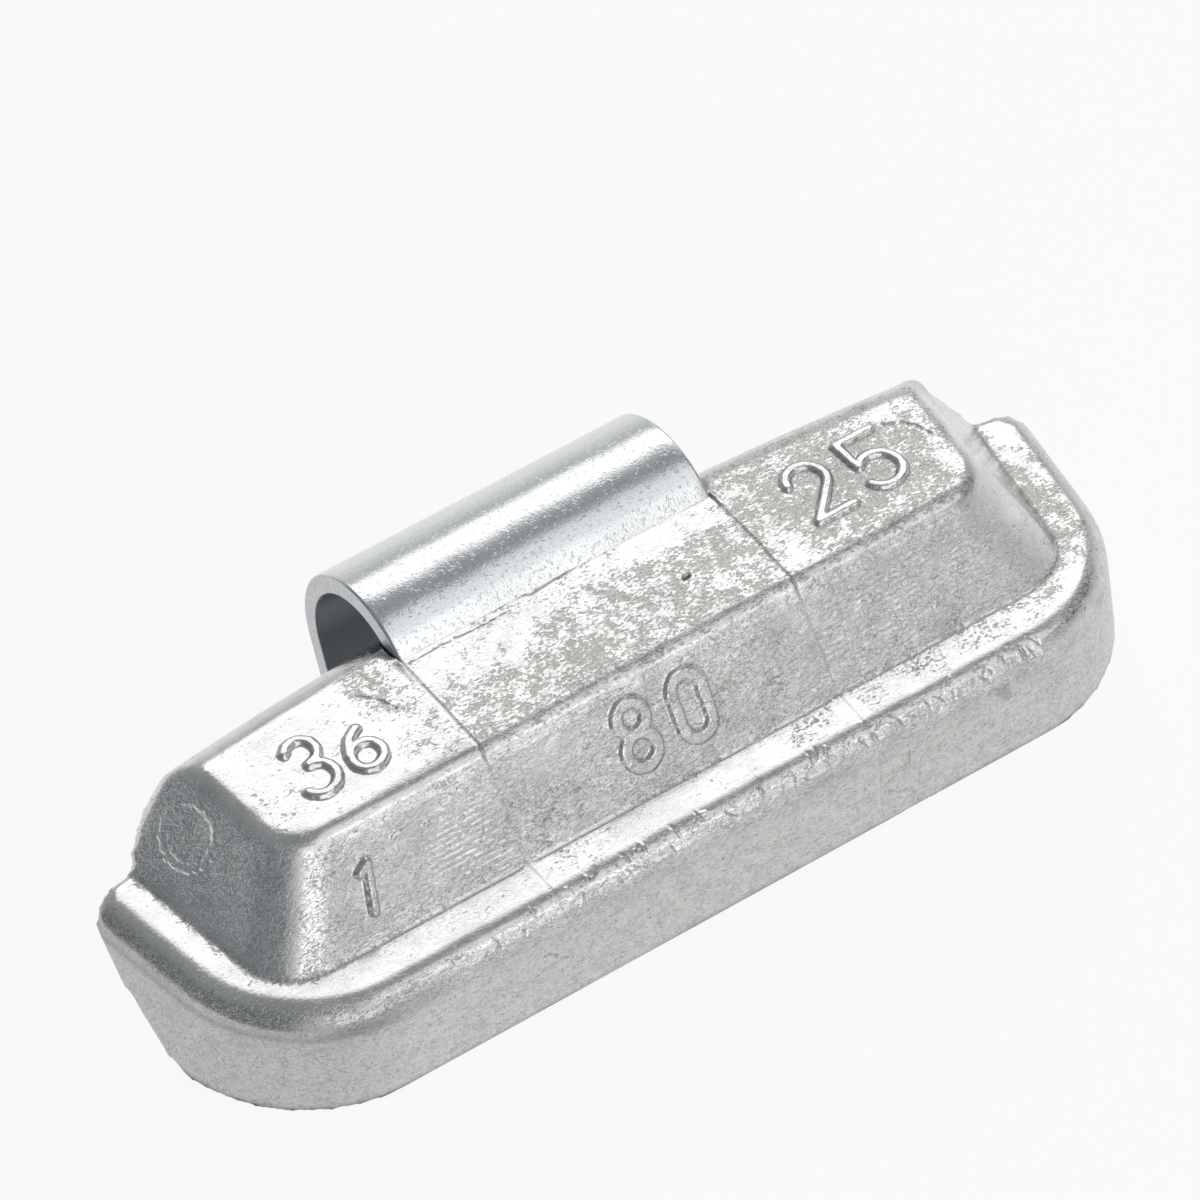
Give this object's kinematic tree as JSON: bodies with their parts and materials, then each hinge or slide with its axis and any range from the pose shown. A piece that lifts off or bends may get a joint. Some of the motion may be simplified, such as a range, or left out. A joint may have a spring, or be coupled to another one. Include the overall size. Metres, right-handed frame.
{
  "type": "clip-on wheel balance weight",
  "caption": "Clip-on wheel balance weight: a die-cast zinc block on a wider rounded flange, with a curved rim seat behind and a bent spring-steel clip cast into its upper back edge.",
  "frame": {"origin": "corner of the rim seat at mid-length, where the back wall's cylinder would meet the flat under face", "axes": "+X along the weight, +Y away from the wheel's axis, +Z out of the wheel; the rim's lip comes up from -Z between the back wall and the clip"},
  "size_m": [0.0672, 0.0275, 0.0149],
  "materials": {
    "die_cast_zinc": "bare zinc as die cast, bright and slightly rough",
    "zinc_plated_steel": "satin zinc plating"
  },
  "bodies": {
    "root": {"cast_body": "die_cast_zinc", "spring_clip": "zinc_plated_steel"}
  },
  "joints": []
}
